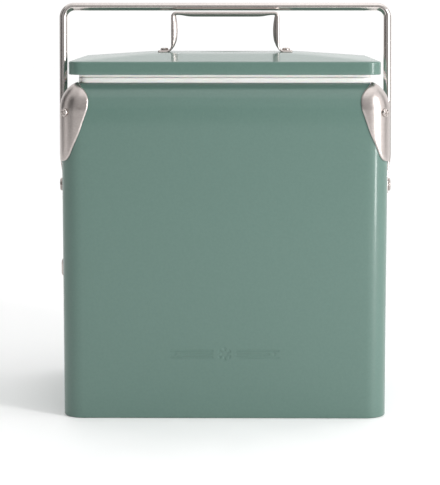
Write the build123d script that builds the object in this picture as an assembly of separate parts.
from build123d import *
import math
import os

# Vintage soda cooler chest: a painted steel picnic cooler with a lift-off lid and a swinging bail.
# Origin: bottom centre of the chest. +Z up, the front faces -Y, +X is right. Sizes in millimetres.

# ---------------------------------------------------------------- chest body
body_width = 310.0
body_depth = 235.0
body_corner_radius = 20.0  # plan radius of the upright corners
steel = 0.8  # sheet of the body and the lid
wall_top = 294.77  # height where the straight wall turns into the shoulder
shoulder_radius = 28.0
lip_corner_radius = 4.0  # plan corner radius where the shoulder stops
hem_width = 7.0  # sheet turned in under the bottom edge
touch = 0.05  # room between pieces that are laid or pressed together
seam_width = 9.0  # lock seam down the back of the body
seam_groove = 0.8
seam_depth = 0.4
seam_bottom = 8.0
mark_depth = 0.4  # pressed mark on the front
mark_height = 62.4
mark_width = 104.0
flake_size = 13.0  # frost star in the middle of the mark
flake_arm = 1.4
flake_barb = (1.2, 5.0)
pinstripe = 1.8
pinstripe_step = 3.2
pinstripe_cut = 9.0  # the middle stripe is this much shorter and ends in a diamond
diamond = 2.6
pan_thickness = 0.8
pan_flange = 12.0

# ---------------------------------------------------------------- liner and rim
cavity_margin = 23.5  # from the body's wall to the tub's inside
cavity_corner_radius = 16.0
cavity_height = 285.0
cavity_floor_radius = 8.0
liner_wall = 2.5
rim_height = 5.0
rim_corner_radius = 9.0
rim_edge = 0.8

# ---------------------------------------------------------------- lid
lid_margin_x = 7.0  # how far the skirt stands in from the body's wall
lid_margin_y = 6.75
lid_corner_radius = 14.0
skirt_height = 12.4
skirt_edge_radius = 1.6
lid_crown = 6.3  # rise from the skirt to the flat middle
slope_width_x = 74.0  # width of the sloped borders
slope_width_y = 62.0
lid_gap = 0.3  # lid above rim when closed
lid_flange = 2.4  # white edge of the lid liner between rim and skirt
lid_liner_wall = 2.0
plug_clearance = 2.0
plug_depth = 22.0
plug_edge_radius = 3.0
gasket_gap = 0.3
gasket_height = 5.0
gasket_groove = 1.0
gasket_drop = 7.0

# ---------------------------------------------------------------- lid pull
pull_width = 108.0
pull_height = 40.1  # top of the strap above the flat middle of the lid
pull_depth = 22.0
pull_steel = 1.5
pull_corner_radius = 5.0
pull_lip = 5.0  # how deep the curled edges are under the top
pull_lip_flat = 35.0  # half length of the straight part of that lip
pull_leg_lip = 6.2  # widest part of the curled edge on the legs
pull_foot = 13.0
pull_screw_out = 7.0
pull_screw = 4.0
pull_screw_length = 12.0
hexagon_nut_height = 3.2

# ---------------------------------------------------------------- bail and pivots
bail_rod = 8.0
bail_out = 8.5  # from the body's side to the middle of a leg
bail_bend_radius = 11.0
pivot_height = 213.0
bail_radius = 179.2  # pivot to the middle of the top bar
bail_lean = 5.0  # degrees the bail rests behind upright
eye_radius = 9.0
eye_thickness = 4.5
eye_neck = 30.0  # leg starts to flatten this far above the pivot
pivot_shank = 8.0
bush_wall = 1.0
running_gap = 0.05  # radial, bush on pivot stud
side_gap = 0.2  # each side of the eye
washer_thickness = 0.6
washer_radius = 9.0
stud_head = 2.2
stud_head_radius = 6.5
stud_tail_radius = 6.0
stud_tail = 2.0
backing_plate = (44.0, 60.0, 2.5)  # width, height, thickness
backing_plate_round = 6.0
spacer_radius = 7.0

# ---------------------------------------------------------------- side brackets
bracket_gap = 0.3
bracket_steel = 1.5
ear_reach = 27.0  # how far an ear wraps on to the front and the back
dome_height = 2.4
dome_top_radius = 13.0
dome_base_radius = 19.0
tail_radius = 24.0
arm_rise = 29.0  # top edge of the bracket above the pivot, at the middle
screw_drop = 27.4  # ear screws below the lip
screw_shank = 4.0
screw_head_radius = 4.0
screw_head = 2.6
screw_length = 12.0
screw_fit = 0.15  # radial
recess_width = 1.0
recess_depth = 1.2
nut_radius = 3.4
nut_length = 8.0

# ---------------------------------------------------------------- bottle opener
opener_height = 128.0  # middle of the plate
opener_plate = (40.0, 58.0, 2.0)  # width, height, thickness
opener_plate_round = 9.0
opener_reach = 10.5  # from the body side to the front of the hook
opener_hood_width = 28.0
opener_hood_height = 18.0
opener_hood_round = 6.0
opener_tooth = 3.0
opener_screw_spacing = 40.0

# ---------------------------------------------------------------- worked out from the above
lip_inset = body_corner_radius - lip_corner_radius
lip_flange = lip_corner_radius - 0.5
lip_angle = math.acos(1 - lip_inset / shoulder_radius)
lip_height = wall_top + shoulder_radius * math.sin(lip_angle)
side_x = body_width / 2
front_y = body_depth / 2
cavity_width = body_width - 2 * cavity_margin
cavity_depth = body_depth - 2 * cavity_margin
lid_width = body_width - 2 * lid_margin_x
lid_depth = body_depth - 2 * lid_margin_y
bail_half_width = side_x + bail_out
screw_height = lip_height - screw_drop
rim_width = body_width - 2 * lip_inset - 0.4
rim_depth = body_depth - 2 * lip_inset - 0.4
rim_bottom = lip_height + touch
rim_top = rim_bottom + rim_height
cavity_floor = rim_top - cavity_height
lid_bottom = rim_top + lid_gap
skirt_bottom = lid_bottom + lid_flange
skirt_top = skirt_bottom + skirt_height
plateau = skirt_top + lid_crown
pull_top = plateau + pull_height
ear_top = lip_height + 0.2
ear_widest = lip_height - 17.0
ear_neck = lip_height - 31.0
ear_foot = lip_height - 71.0
ear_bottom = lip_height - 73.7
bracket_face = side_x + bracket_gap + bracket_steel
dome_face = bracket_face + dome_height
washer_face = dome_face + touch + washer_thickness
eye_inner = washer_face + side_gap
eye_outer = eye_inner + eye_thickness
head_inner = eye_outer + side_gap
corner_x = side_x - body_corner_radius
corner_y = front_y - body_corner_radius


def block(width, depth, radius, bottom, top):
    """An upright block with rounded corners."""
    return Pos(0, 0, bottom) * extrude(RectangleRounded(width, depth, radius), top - bottom)


def ring(outside, inside, bottom, top):
    """A rounded frame: outside and inside are (width, depth, corner radius)."""
    return block(*outside, bottom, top) - block(*inside, bottom - 1, top + 1)


def carry_round(section_edges):
    """Carries a section round the body. Its x is how far in from the wall, its y is the height."""
    start = Plane(origin=(0, -front_y, 0), x_dir=(0, 1, 0), z_dir=(1, 0, 0))
    face = start * make_face(section_edges)
    corners = [(0, -front_y), (side_x, -front_y), (side_x, front_y), (0, front_y)]
    half = sweep(face, path=FilletPolyline(*corners, radius=body_corner_radius))
    return half + mirror(half, about=Plane.YZ)


def shoulder_point(radius, angle):
    """A point of the shoulder's section, angle measured from the wall."""
    inset = shoulder_radius - radius * math.cos(angle)
    return (inset, wall_top + radius * math.sin(angle))


def shoulder_arc(radius, first, last):
    middle = (first + last) / 2
    points = [shoulder_point(radius, angle) for angle in (first, middle, last)]
    return ThreePointArc(*points)


def polygon_edges(points):
    return [Line(a, b) for a, b in zip(points, points[1:])]


def both_sides(piece):
    """A piece and its mirror image across the middle of the chest."""
    return [piece, mirror(piece, about=Plane.YZ)]


def rod_x(radius, x_from, x_to, y=0.0, z=0.0):
    """A cylinder along X between two x values."""
    middle = Pos((x_from + x_to) / 2, y, z)
    return middle * Rot(0, 90, 0) * Cylinder(radius, abs(x_to - x_from))


def screw(shank_radius, length, head_radius, head, top_angle=0.0):
    """A pan head screw with a cross recess. It points down, its head sits on z = 0."""
    body = Pos(0, 0, -length / 2) * Cylinder(shank_radius, length)
    cap = Pos(0, 0, head / 2) * Cylinder(head_radius, head)
    cap = fillet(cap.edges().group_by(Axis.Z)[-1], head * 0.55)
    cross = Box(head_radius * 1.2, recess_width, recess_depth)
    cross += Rot(0, 0, 90) * Box(head_radius * 1.2, recess_width, recess_depth)
    cross = Pos(0, 0, head - recess_depth / 2 + 0.05) * Rot(0, 0, top_angle) * cross
    return body + (cap - cross)


def ear_screw_places():
    """Places on the diagonal of each upright corner, z pointing out of the corner."""
    places = []
    surface = body_corner_radius + bracket_gap + bracket_steel
    for x_sign in (1, -1):
        for y_sign in (1, -1):
            out = Vector(x_sign, y_sign, 0).normalized()
            origin = Vector(x_sign * corner_x, y_sign * corner_y, screw_height) + out * surface
            places.append(Plane(origin=origin, x_dir=(0, 0, 1), z_dir=out))
    return places


def opener_screw_places():
    places = []
    for offset in (-1, 1):
        z = opener_height + offset * opener_screw_spacing / 2
        x = -(side_x + touch + opener_plate[2])
        places.append(Plane(origin=(x, 0, z), x_dir=(0, 1, 0), z_dir=(-1, 0, 0)))
    return places


def screw_holes(places, radius):
    depth = 60.0
    return [place * Cylinder(radius, depth) for place in places]


def pressed_mark():
    """A plain mark: a six-armed frost star between two pairs of pinstripes."""
    star = [Rot(0, 0, angle) * Rectangle(flake_size, flake_arm) for angle in (30, 90, 150)]
    sketch = Sketch() + star
    for angle in range(30, 390, 60):
        tip = Rot(0, 0, angle) * Pos(flake_size * 0.30, 0)
        for turn in (60, -60):
            sketch += tip * Rot(0, 0, turn) * Rectangle(*flake_barb)
    reach = mark_width / 2
    near = flake_size * 0.85
    for side in (-1, 1):
        for row, cut in ((pinstripe_step, 0.0), (0.0, pinstripe_cut), (-pinstripe_step, 0.0)):
            length = reach - near - cut
            middle = side * (near + length / 2)
            sketch += Pos(middle, row) * Rectangle(length, pinstripe)
        end = side * (reach - pinstripe_cut / 2)
        sketch += Pos(end, 0) * Rot(0, 0, 45) * Rectangle(diamond, diamond)
    plane = Plane(origin=(0, -front_y, mark_height), x_dir=(1, 0, 0), z_dir=(0, -1, 0))
    return extrude(plane * sketch, mark_depth, both=True)


def make_outer_shell():
    """The painted body: walls, rolled shoulder, flange under the rim and hem under the bottom."""
    inner_radius = shoulder_radius - steel
    flange_under = lip_height - steel
    inner_angle = math.asin((flange_under - wall_top) / inner_radius)
    inner_end = shoulder_point(inner_radius, inner_angle)
    flange_end = lip_inset + lip_flange
    edges = [Line((0, 0), (0, wall_top))]
    edges.append(shoulder_arc(shoulder_radius, 0, lip_angle))
    edges += polygon_edges([
        (lip_inset, lip_height),
        (flange_end, lip_height),
        (flange_end, flange_under),
        inner_end,
    ])
    edges.append(shoulder_arc(inner_radius, inner_angle, 0))
    edges += polygon_edges([
        (steel, wall_top),
        (steel, steel),
        (hem_width, steel),
        (hem_width, 0),
        (0, 0),
    ])
    shell = carry_round(edges)
    groove_length = wall_top - seam_bottom
    for side in (-1, 1):
        groove = Box(seam_groove, 2 * seam_depth, groove_length)
        middle = seam_bottom + groove_length / 2
        shell -= Pos(side * seam_width / 2, front_y, middle) * groove
    shell -= pressed_mark()
    pivot_hole = rod_x(pivot_shank / 2 + touch, -side_x - 5, side_x + 5, 0, pivot_height)
    cuts = [pivot_hole]
    cuts += screw_holes(ear_screw_places(), nut_radius + touch)
    cuts += screw_holes(opener_screw_places(), nut_radius + touch)
    ear_and_opener_reach = block(body_width - 60, body_depth - 60, 5, 0, lip_height)
    return shell - [cut - ear_and_opener_reach for cut in cuts]


def make_base_pan():
    """The bottom sheet, laid on the hem, with its edge turned up inside the wall."""
    gap = steel + touch
    outside = (body_width - 2 * gap, body_depth - 2 * gap, body_corner_radius - gap)
    wall = pan_thickness
    inside = (outside[0] - 2 * wall, outside[1] - 2 * wall, outside[2] - wall)
    bottom = steel + touch
    pan = block(*outside, bottom, bottom + pan_flange)
    return pan - block(*inside, bottom + wall, bottom + pan_flange + 1)


def make_inner_liner():
    """The white tub: straight walls, a floor, and the rim that sits on the steel flange."""
    inside = (cavity_width, cavity_depth, cavity_corner_radius)
    wall = liner_wall
    outside = (cavity_width + 2 * wall, cavity_depth + 2 * wall, cavity_corner_radius + wall)
    tub = block(*outside, cavity_floor - wall, rim_top)
    rim = block(rim_width, rim_depth, rim_corner_radius, rim_bottom, rim_top)
    rim = fillet(rim.edges().group_by(Axis.Z)[-1], rim_edge)
    hollow = block(*inside, cavity_floor, rim_top + 1)
    hollow = fillet(hollow.edges().group_by(Axis.Z)[0], cavity_floor_radius)
    return tub + rim - hollow


def make_body_foam():
    """Insulation between the steel and the tub."""
    gap = steel + touch
    radius = body_corner_radius - gap
    outside = (body_width - 2 * gap, body_depth - 2 * gap, radius)
    bottom = steel + touch + pan_flange + touch
    foam = block(*outside, bottom, wall_top)
    top_inset = lip_inset + lip_flange + touch
    upper = (body_width - 2 * top_inset, body_depth - 2 * top_inset, 2.0)
    foam += block(*upper, wall_top, rim_bottom - touch)
    pan_gap = gap + pan_thickness + touch
    lower = (body_width - 2 * pan_gap, body_depth - 2 * pan_gap, body_corner_radius - pan_gap)
    foam += block(*lower, steel + 2 * touch + pan_thickness, bottom)
    wall = liner_wall + touch
    tub = (cavity_width + 2 * wall, cavity_depth + 2 * wall, cavity_corner_radius + wall)
    foam -= block(*tub, cavity_floor - wall, rim_top)
    pocket = Box(backing_plate[2] + stud_tail + 2, backing_plate[0] + 2, backing_plate[1] + 2)
    pocket_x = side_x - steel - backing_plate[2] / 2 - stud_tail / 2 - 0.5
    foam -= both_sides(Pos(pocket_x, 0, pivot_height) * pocket)
    places = ear_screw_places() + opener_screw_places()
    tub_keep = block(*tub, 0, rim_top)
    return foam - [hole - tub_keep for hole in screw_holes(places, nut_radius + 0.6)]


def bracket_outline_side():
    """The bracket seen from the side, as an extruded region: two arms meeting at the pivot."""
    front = front_y + 10
    arm_top = pivot_height + arm_rise
    tail = tail_radius
    ear_y = front_y - 20.0
    upper = Spline(
        (0, arm_top),
        (front_y * 0.30, arm_top + 6),
        (front_y * 0.58, arm_top + 30),
        (ear_y - 8, ear_widest - 8),
        (ear_y - 3, ear_widest + 5),
        (ear_y + 2, ear_top),
        tangents=[(1, 0), (0.8, 1)],
    )
    lower = Spline(
        (corner_y + 4, ear_bottom),
        (front_y * 0.62, ear_bottom - 9),
        (tail * 0.94, pivot_height - tail * 0.35),
        tangents=[(-1, 0), (-0.42, -0.9)],
    )
    bottom = ThreePointArc(
        (tail * 0.94, pivot_height - tail * 0.35),
        (tail * 0.6, pivot_height - tail * 0.8),
        (0, pivot_height - tail),
    )
    edges = [upper, Line((ear_y + 2, ear_top), (front, ear_top))]
    edges.append(Line((front, ear_top), (front, ear_bottom)))
    edges.append(Line((front, ear_bottom), (corner_y + 4, ear_bottom)))
    edges += [lower, bottom, Line((0, pivot_height - tail), (0, arm_top))]
    half = make_face(edges)
    plane = Plane(origin=(side_x - 40, 0, 0), x_dir=(0, 1, 0), z_dir=(1, 0, 0))
    prism = extrude(plane * half, 60)
    return prism + mirror(prism, about=Plane.XZ)


def bracket_outline_front():
    """The ears seen from the front, as a region right through the chest."""
    far = side_x + 20
    reach = side_x - ear_reach
    inner = side_x - 0.1
    low = pivot_height - tail_radius - 5
    lobe_top = (side_x - 13.0, ear_top)
    neck = (side_x - 23.0, ear_neck)
    foot = (side_x - 6.8, ear_foot)
    lobe = Spline(
        lobe_top,
        (side_x - 19.5, lip_height - 1.6),
        (reach + 2.2, ear_widest + 10.0),
        (reach, ear_widest),
        neck,
        (side_x - 17.2, ear_neck - 17.5),
        foot,
        (side_x - 3.2, ear_bottom),
        tangents=[(-1, 0.1), (1, 0)],
    )
    edges = [lobe, Line((side_x - 3.2, ear_bottom), (inner, ear_bottom))]
    edges += polygon_edges([
        (inner, ear_bottom),
        (inner, low),
        (far, low),
        (far, ear_top),
        lobe_top,
    ])
    plane = Plane(origin=(0, front_y + 10, 0), x_dir=(1, 0, 0), z_dir=(0, -1, 0))
    return extrude(plane * make_face(edges), body_depth + 20)


def make_side_bracket():
    """The right bracket: one stamping that wraps both corners and carries the pivot on a dome."""
    low = pivot_height - tail_radius - 5
    near = shoulder_radius + bracket_gap
    far = near + bracket_steel
    edges = polygon_edges([
        shoulder_point(near, 0),
        (-bracket_gap, low),
        (-bracket_gap - bracket_steel, low),
        shoulder_point(far, 0),
    ])
    edges.append(shoulder_arc(far, 0, lip_angle))
    edges.append(Line(shoulder_point(far, lip_angle), shoulder_point(near, lip_angle)))
    edges.append(shoulder_arc(near, lip_angle, 0))
    layer = carry_round(edges)
    sheet = layer & bracket_outline_side()
    sheet = sheet & bracket_outline_front()
    at_pivot = Pos(0, 0, pivot_height)
    inner_face = bracket_face - bracket_steel
    lean = (dome_base_radius - dome_top_radius) / dome_height
    outer_base = dome_base_radius
    inner_base = dome_base_radius - bracket_steel
    inner_top = inner_base - lean * dome_height
    outer = Cone(outer_base, dome_top_radius, dome_height)
    outer = at_pivot * Pos(bracket_face + dome_height / 2, 0, 0) * Rot(0, 90, 0) * outer
    hollow = Cone(inner_base, inner_top, dome_height)
    hollow = at_pivot * Pos(inner_face + dome_height / 2, 0, 0) * Rot(0, 90, 0) * hollow
    sheet = sheet + outer - hollow
    hole = rod_x(pivot_shank / 2 + touch, inner_face - 2, dome_face + 2, 0, pivot_height)
    return sheet - hole - screw_holes(ear_screw_places(), screw_shank / 2 + screw_fit)


def make_bracket_screws():
    part = screw(screw_shank / 2, screw_length, screw_head_radius, screw_head, 20)
    return [place * part for place in ear_screw_places()]


def nut_insert(skin):
    """A threaded insert behind the sheet: skin is how far below the screw's seat it starts."""
    bore = screw_shank / 2 + touch
    sleeve = Cylinder(nut_radius, nut_length) - Cylinder(bore, nut_length)
    return Pos(0, 0, -skin - nut_length / 2) * sleeve


def make_bracket_nuts():
    skin = bracket_steel + bracket_gap + touch + nut_radius**2 / (2 * body_corner_radius)
    return [place * nut_insert(skin) for place in ear_screw_places()]


def make_pivot_studs():
    """Shouldered rivets through backing plate, body, spacer, bracket, washer and eye."""
    tail_face = side_x - steel - touch - backing_plate[2] - touch
    shank = rod_x(pivot_shank / 2, tail_face, head_inner, 0, pivot_height)
    tail = rod_x(stud_tail_radius, tail_face - stud_tail, tail_face, 0, pivot_height)
    head = rod_x(stud_head_radius, head_inner, head_inner + stud_head, 0, pivot_height)
    head = fillet(head.edges().group_by(Axis.X)[-1], stud_head * 0.6)
    return both_sides(shank + tail + head)


def make_pivot_washers():
    washer = rod_x(washer_radius, washer_face - washer_thickness, washer_face, 0, pivot_height)
    washer -= rod_x(pivot_shank / 2 + touch, washer_face - 3, washer_face + 3, 0, pivot_height)
    return both_sides(washer)


def make_pivot_spacers():
    """Sleeves that keep the domes from being crushed by the rivets."""
    start = side_x + touch
    end = dome_face - bracket_steel - touch
    sleeve = rod_x(spacer_radius, start, end, 0, pivot_height)
    sleeve -= rod_x(pivot_shank / 2 + touch, start - 1, end + 1, 0, pivot_height)
    return both_sides(sleeve)


def make_pivot_backing_plates():
    width, height, thickness = backing_plate
    plate = Box(thickness, width, height)
    plate = fillet(plate.edges().filter_by(Axis.X), backing_plate_round)
    outer = side_x - steel - touch
    plate = Pos(outer - thickness / 2, 0, pivot_height) * plate
    plate -= rod_x(pivot_shank / 2 + touch, outer - thickness - 1, outer + 1, 0, pivot_height)
    return both_sides(plate)


def make_bail_handle():
    """Round bar bent twice, with the leg ends pressed flat into eyes, leaning back at rest."""
    top = pivot_height + bail_radius
    neck = pivot_height + eye_neck
    x = bail_half_width
    corners = [(x, 0, neck), (x, 0, top), (-x, 0, top), (-x, 0, neck)]
    path = FilletPolyline(*corners, radius=bail_bend_radius)
    start = Plane(origin=(x, 0, neck), x_dir=(1, 0, 0), z_dir=(0, 0, 1))
    handle = sweep(start * Circle(bail_rod / 2), path=path)
    eye_x = (eye_inner + eye_outer) / 2
    flat = Plane(origin=(eye_x, 0, pivot_height + eye_radius * 0.75), x_dir=(1, 0, 0), z_dir=(0, 0, 1))
    neck_thickness = eye_thickness - 0.3
    flattened = flat * RectangleRounded(neck_thickness, eye_radius * 1.3, neck_thickness * 0.3)
    leg = loft([start * Circle(bail_rod / 2), flattened])
    leg += rod_x(eye_radius, eye_inner, eye_outer, 0, pivot_height)
    bore = pivot_shank / 2 + running_gap + bush_wall
    leg -= rod_x(bore, eye_inner - 1, eye_outer + 1, 0, pivot_height)
    handle = handle + both_sides(leg)
    return lean_back(handle)


def lean_back(piece):
    """Turns a piece of the bail about the pivots by the angle it rests at."""
    return Pos(0, 0, pivot_height) * Rot(-bail_lean, 0, 0) * Pos(0, 0, -pivot_height) * piece


def make_bail_bushes():
    bore = pivot_shank / 2 + running_gap
    bush = rod_x(bore + bush_wall, eye_inner, eye_outer, 0, pivot_height)
    bush -= rod_x(bore, eye_inner - 1, eye_outer + 1, 0, pivot_height)
    return both_sides(bush)


def lid_top_solid(inset):
    """Outer form of the lid, or its hollow when inset is the sheet thickness."""
    width = lid_width - 2 * inset
    depth = lid_depth - 2 * inset
    radius = lid_corner_radius - inset
    top = skirt_top - inset
    skirt = block(width, depth, radius, skirt_bottom - (0 if inset == 0 else 1), top)
    crown_width = width - 2 * slope_width_x
    crown_depth = depth - 2 * slope_width_y
    base = Pos(0, 0, top) * RectangleRounded(width, depth, radius)
    crown = Pos(0, 0, top + lid_crown) * RectangleRounded(crown_width, crown_depth, radius)
    whole = skirt + loft([base, crown], ruled=True)
    if inset == 0:
        rim_edges = [e for e in whole.edges() if abs(e.center().Z - skirt_top) < 0.01]
        whole = fillet(rim_edges, skirt_edge_radius)
    return whole


def make_lid_shell():
    """The painted lid: crowned top, skirt, and a hem turned in under the skirt."""
    shell = lid_top_solid(0) - lid_top_solid(steel)
    hem_in = (rim_width, rim_depth, rim_corner_radius)
    outside = (lid_width - 1, lid_depth - 1, lid_corner_radius - 0.5)
    hem = ring(outside, hem_in, skirt_bottom, skirt_bottom + steel)
    return shell + hem - screw_holes(pull_screw_places(), pull_screw / 2 + screw_fit)


def make_lid_liner():
    """The white inside of the lid: an edge that lies on the rim and a plug that fills the mouth."""
    edge = (rim_width - 0.4, rim_depth - 0.4, rim_corner_radius - 0.2)
    seat = (lid_width - 2 * steel - 1, lid_depth - 2 * steel - 1, lid_corner_radius - steel - 0.5)
    plate_bottom = skirt_bottom + steel + touch
    liner = block(*edge, lid_bottom, plate_bottom + lid_liner_wall)
    liner = fillet(liner.edges().group_by(Axis.Z)[0], rim_edge)
    liner += block(*seat, plate_bottom, plate_bottom + lid_liner_wall)
    clear = plug_clearance
    plug = (cavity_width - 2 * clear, cavity_depth - 2 * clear, cavity_corner_radius - clear)
    plug_bottom = lid_bottom - plug_depth
    solid = block(*plug, plug_bottom, lid_bottom + 1)
    solid = fillet(solid.edges().group_by(Axis.Z)[0], plug_edge_radius)
    liner += solid
    wall = lid_liner_wall + gasket_groove
    hollow = (plug[0] - 2 * wall, plug[1] - 2 * wall, plug[2] - wall)
    liner -= block(*hollow, plug_bottom + lid_liner_wall, skirt_top)
    depth = gasket_groove
    floor = (plug[0] - 2 * depth, plug[1] - 2 * depth, plug[2] - depth)
    wide = (plug[0] + 10, plug[1] + 10, plug[2] + 5)
    groove_top = lid_bottom - gasket_drop
    return liner - ring(wide, floor, groove_top - gasket_height, groove_top)


def make_lid_gasket():
    """Soft ring in the groove of the plug, just clear of the tub."""
    gap = gasket_gap
    outside = (cavity_width - 2 * gap, cavity_depth - 2 * gap, cavity_corner_radius - gap)
    depth = plug_clearance + gasket_groove - touch
    inside = (cavity_width - 2 * depth, cavity_depth - 2 * depth, cavity_corner_radius - depth)
    top = lid_bottom - gasket_drop - touch
    return ring(outside, inside, top - gasket_height + 2 * touch, top)


def make_lid_foam():
    """Insulation that fills the plug and the crown."""
    wall = plug_clearance + lid_liner_wall + gasket_groove + touch
    plug = (cavity_width - 2 * wall, cavity_depth - 2 * wall, cavity_corner_radius - wall)
    foam = block(*plug, lid_bottom - plug_depth + lid_liner_wall + touch, skirt_top - steel - 1)
    width = lid_width - 2 * slope_width_x
    depth = lid_depth - 2 * slope_width_y
    base = Pos(0, 0, skirt_top - steel - 1) * RectangleRounded(plug[0], plug[1], plug[2])
    crown = Pos(0, 0, plateau - steel - 2) * RectangleRounded(width, depth, 5)
    foam += loft([base, crown], ruled=True)
    holes = screw_holes(pull_screw_places(), nut_radius + 4)
    return foam - [hole & block(*plug, skirt_bottom, plateau) for hole in holes]


def pull_screw_places():
    x = pull_width / 2 + pull_screw_out
    z = plateau + pull_steel
    return [Plane(origin=(side * x, 0, z), z_dir=(0, 0, 1)) for side in (-1, 1)]


def make_lid_pull():
    """Carrying strap of the lid: a bent strip with its long edges curled in, and two feet."""
    half = pull_width / 2
    base = plateau + touch
    radius = pull_corner_radius
    t = pull_steel
    foot = half + pull_foot
    centre_line = FilletPolyline(
        (foot, base + t / 2),
        (half - t / 2, base + t / 2),
        (half - t / 2, pull_top - t / 2),
        (-half + t / 2, pull_top - t / 2),
        (-half + t / 2, base + t / 2),
        (-foot, base + t / 2),
        radius=radius * 0.8,
    )
    facing = Plane(origin=(0, pull_depth / 2, 0), x_dir=(1, 0, 0), z_dir=(0, -1, 0))
    strap = extrude(facing * trace(centre_line, line_width=t), pull_depth)
    inside = half - t / 2
    top = pull_top - t / 2
    mid = (base + pull_top) / 2
    lip_edge = Spline(
        (inside - 2.6, base + 4),
        (half - pull_leg_lip, mid),
        (half - pull_leg_lip + 1.6, top - 6),
        (half - pull_leg_lip - 3.5, top - 2.2),
        (pull_lip_flat, pull_top - pull_lip),
        tangents=[(-0.4, 1), (-1, 0)],
    )
    corner = ThreePointArc(
        (inside, top - radius),
        (inside - radius * 0.29, top - radius * 0.29),
        (inside - radius, top),
    )
    edges = [
        lip_edge,
        Line((pull_lip_flat, pull_top - pull_lip), (0, pull_top - pull_lip)),
        Line((0, pull_top - pull_lip), (0, top)),
        Line((0, top), (inside - radius, top)),
        corner,
        Line((inside, top - radius), (inside, base + 3)),
        Line((inside, base + 3), (inside - 2.6, base + 4)),
    ]
    lip = extrude(facing * make_face(edges), t)
    lips = [lip, Pos(0, -pull_depth + t, 0) * lip]
    lips += [mirror(piece, about=Plane.YZ) for piece in lips]
    strap = strap + lips
    strap = fillet(strap.edges().filter_by(Axis.X).group_by(Axis.Z)[-1], t * 0.9)
    return strap - screw_holes(pull_screw_places(), pull_screw / 2 + screw_fit)


def make_lid_pull_screws():
    part = screw(pull_screw / 2, pull_screw_length, screw_head_radius, screw_head, 35)
    seat = Pos(0, 0, touch)
    return [place * seat * part for place in pull_screw_places()]


def make_lid_pull_nuts():
    """Hexagon nuts under the lid's steel."""
    height = hexagon_nut_height
    nut = extrude(RegularPolygon(nut_radius + 0.4, 6), height)
    nut -= Cylinder(pull_screw / 2 + touch, 10)
    drop = pull_steel + steel + 2 * touch + height
    return [place * Pos(0, 0, -drop) * nut for place in pull_screw_places()]


def make_bottle_opener():
    """Stamped opener on the left side: a plate, a hood over the cap and a tooth under it."""
    width, height, thickness = opener_plate
    plate = Box(thickness, width, height)
    plate = fillet(plate.edges().filter_by(Axis.X), opener_plate_round)
    back = side_x + touch
    plate = Pos(-(back + thickness / 2), 0, opener_height) * plate
    proud = opener_reach - touch
    hood = Box(proud, opener_hood_width, opener_hood_height)
    hood = fillet(hood.edges().filter_by(Axis.X).group_by(Axis.Z)[-1], opener_hood_round)
    hood = fillet(hood.edges().group_by(Axis.X)[0], opener_hood_round * 0.6)
    hood = Pos(-(back + proud / 2), 0, opener_height + 2) * hood
    inner_width = opener_hood_width - 2 * thickness
    mouth = Box(proud - thickness, inner_width, opener_hood_height)
    mouth = fillet(mouth.edges().filter_by(Axis.X).group_by(Axis.Z)[-1], opener_hood_round - thickness)
    mouth = Pos(-(back + (proud - thickness) / 2), 0, opener_height + 2 - thickness) * mouth
    notch = rod_x(inner_width / 2, -(back + proud + 1), -(back + thickness), 0, opener_height - 9)
    opener = plate + (hood - mouth - notch)
    tooth = Box(opener_tooth, inner_width * 0.5, thickness)
    opener += Pos(-(back + thickness / 2 + opener_tooth / 2), 0, opener_height - 10.5) * tooth
    return opener - screw_holes(opener_screw_places(), screw_shank / 2 + screw_fit)


def make_opener_screws():
    part = screw(screw_shank / 2, screw_length, screw_head_radius, screw_head, 10)
    return [place * part for place in opener_screw_places()]


def make_opener_nuts():
    skin = opener_plate[2] + touch
    return [place * nut_insert(skin) for place in opener_screw_places()]


def export(name, made):
    """Writes one node. A list becomes one file that holds its pieces as separate solids."""
    pieces = made if isinstance(made, list) else [made]
    solids = [solid for piece in pieces for solid in piece.solids()]
    whole = solids[0] if len(solids) == 1 else Compound(children=solids)
    export_step(whole, os.path.join("parts", name + ".step"))


right_bracket = make_side_bracket()

nodes = {
    "outer_shell": make_outer_shell(),
    "base_pan": make_base_pan(),
    "body_foam": make_body_foam(),
    "inner_liner": make_inner_liner(),
    "side_bracket_right": right_bracket,
    "side_bracket_left": mirror(right_bracket, about=Plane.YZ),
    "bracket_screws": make_bracket_screws(),
    "bracket_nuts": make_bracket_nuts(),
    "pivot_studs": make_pivot_studs(),
    "pivot_washers": make_pivot_washers(),
    "pivot_spacers": make_pivot_spacers(),
    "pivot_backing_plates": make_pivot_backing_plates(),
    "bottle_opener": make_bottle_opener(),
    "opener_screws": make_opener_screws(),
    "opener_nuts": make_opener_nuts(),
    "lid_shell": make_lid_shell(),
    "lid_liner": make_lid_liner(),
    "lid_foam": make_lid_foam(),
    "lid_gasket": make_lid_gasket(),
    "lid_pull": make_lid_pull(),
    "lid_pull_screws": make_lid_pull_screws(),
    "lid_pull_nuts": make_lid_pull_nuts(),
    "bail_handle": make_bail_handle(),
    "bail_bushes": make_bail_bushes(),
}

os.makedirs("parts", exist_ok=True)
for name, made in nodes.items():
    export(name, made)
